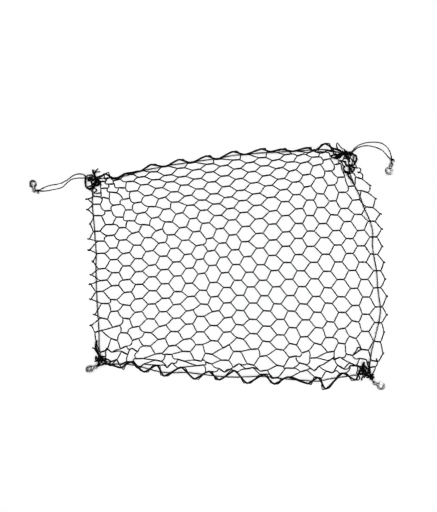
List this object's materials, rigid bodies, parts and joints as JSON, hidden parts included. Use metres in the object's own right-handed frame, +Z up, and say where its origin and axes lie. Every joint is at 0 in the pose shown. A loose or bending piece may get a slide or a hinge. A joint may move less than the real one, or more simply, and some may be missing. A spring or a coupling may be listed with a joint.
{
  "type": "hay net",
  "caption": "Flat corner hay net of black hexagonal netting with heavy knitted edges, threaded draw cords, lashed corners and a swivel snap hook on each corner.",
  "frame": {"origin": "centre of the laid-out net's bounding box, snaps included and free cords left out, on the floor it lies on", "axes": "+X along the long edges towards the bulging side, +Y towards the edge with the two lanyards, +Z up off the floor"},
  "size_m": [1.2356, 0.8432, 0.022],
  "materials": {
    "netting": "knitted polyethylene cord, matte black",
    "edge_cord": "heavy knitted polyethylene cord, matte black",
    "draw_cord": "thin braided cord, matte black",
    "plated_metal": "bright nickel plate",
    "pin": "plain steel",
    "spring_wire": "spring steel wire"
  },
  "bodies": {
    "net": {"net_panel": "netting", "top_edge_cord": "edge_cord", "bottom_edge_cord": "edge_cord", "draw_cord_upper": "draw_cord", "draw_cord_lower": "draw_cord", "corner_gather_top_left": "netting", "corner_lashing_top_left": "draw_cord", "snap_loop_top_left": "draw_cord", "lanyard_knot_top_left": "draw_cord", "corner_gather_top_right": "netting", "corner_lashing_top_right": "draw_cord", "snap_loop_top_right": "draw_cord", "lanyard_knot_top_right": "draw_cord", "corner_gather_bottom_left": "netting", "corner_lashing_bottom_left": "draw_cord", "snap_loop_bottom_left": "draw_cord", "corner_gather_bottom_right": "netting", "corner_lashing_bottom_right": "draw_cord", "snap_loop_bottom_right": "draw_cord"},
    "eye_top_left": {"snap_eye_top_left": "plated_metal"},
    "hook_top_left": {"snap_hook_top_left": "plated_metal", "gate_pin_top_left": "pin", "gate_spring_top_left": "spring_wire"},
    "gate_top_left": {"snap_gate_top_left": "plated_metal"},
    "eye_top_right": {"snap_eye_top_right": "plated_metal"},
    "hook_top_right": {"snap_hook_top_right": "plated_metal", "gate_pin_top_right": "pin", "gate_spring_top_right": "spring_wire"},
    "gate_top_right": {"snap_gate_top_right": "plated_metal"},
    "eye_bottom_left": {"snap_eye_bottom_left": "plated_metal"},
    "hook_bottom_left": {"snap_hook_bottom_left": "plated_metal", "gate_pin_bottom_left": "pin", "gate_spring_bottom_left": "spring_wire"},
    "gate_bottom_left": {"snap_gate_bottom_left": "plated_metal"},
    "eye_bottom_right": {"snap_eye_bottom_right": "plated_metal"},
    "hook_bottom_right": {"snap_hook_bottom_right": "plated_metal", "gate_pin_bottom_right": "pin", "gate_spring_bottom_right": "spring_wire"},
    "gate_bottom_right": {"snap_gate_bottom_right": "plated_metal"}
  },
  "joints": [
    {"name": "snap_swing_top_left", "type": "hinge", "parent": "net", "child": "eye_top_left", "pos_m": [-0.6012, 0.2589, 0.00847], "axis": [0, 0, 1], "range_deg": [-30, 30]},
    {"name": "snap_swivel_top_left", "type": "hinge", "parent": "eye_top_left", "child": "hook_top_left", "pos_m": [-0.6012, 0.2589, 0.00847], "axis": [-0.1736, 0.9848, 0], "continuous": true},
    {"name": "snap_gate_top_left", "type": "hinge", "parent": "hook_top_left", "child": "gate_top_left", "pos_m": [-0.61177, 0.27547, 0.01282], "axis": [-0.4924, -0.0868, -0.866], "range_deg": [0, 35], "stiffness_Nm_per_rad": 0.02, "springref_deg": -22.92},
    {"name": "snap_swing_top_right", "type": "hinge", "parent": "net", "child": "eye_top_right", "pos_m": [0.6118, 0.3509, 0.006], "axis": [0, 0, 1], "range_deg": [-30, 30]},
    {"name": "snap_swivel_top_right", "type": "hinge", "parent": "eye_top_right", "child": "hook_top_right", "pos_m": [0.6118, 0.3509, 0.006], "axis": [-0.342, -0.9397, 0], "continuous": true},
    {"name": "snap_gate_top_right", "type": "hinge", "parent": "hook_top_right", "child": "gate_top_right", "pos_m": [0.61349, 0.33097, 0.00826], "axis": [0.2432, -0.0885, -0.9659], "range_deg": [0, 35], "stiffness_Nm_per_rad": 0.02, "springref_deg": -22.92},
    {"name": "snap_swing_bottom_left", "type": "hinge", "parent": "net", "child": "eye_bottom_left", "pos_m": [-0.3902, -0.3371, 0.0106], "axis": [0, 0, 1], "range_deg": [-30, 30]},
    {"name": "snap_swivel_bottom_left", "type": "hinge", "parent": "eye_bottom_left", "child": "hook_bottom_left", "pos_m": [-0.3902, -0.3371, 0.0106], "axis": [-0.9563, -0.2924, 0], "continuous": true},
    {"name": "snap_gate_bottom_left", "type": "hinge", "parent": "hook_bottom_left", "child": "gate_bottom_left", "pos_m": [-0.40576, -0.34829, 0.01675], "axis": [0.2067, -0.6762, -0.7071], "range_deg": [0, 35], "stiffness_Nm_per_rad": 0.02, "springref_deg": -22.92},
    {"name": "snap_swing_bottom_right", "type": "hinge", "parent": "net", "child": "eye_bottom_right", "pos_m": [0.5538, -0.3931, 0.0047], "axis": [0, 0, 1], "range_deg": [-30, 30]},
    {"name": "snap_swivel_bottom_right", "type": "hinge", "parent": "eye_bottom_right", "child": "hook_bottom_right", "pos_m": [0.5538, -0.3931, 0.0047], "axis": [0.9135, -0.4067, 0], "continuous": true},
    {"name": "snap_gate_bottom_right", "type": "hinge", "parent": "hook_bottom_right", "child": "gate_bottom_right", "pos_m": [0.57392, -0.39253, 0.0047], "axis": [0, 0, -1], "range_deg": [0, 35], "stiffness_Nm_per_rad": 0.02, "springref_deg": -22.92}
  ]
}
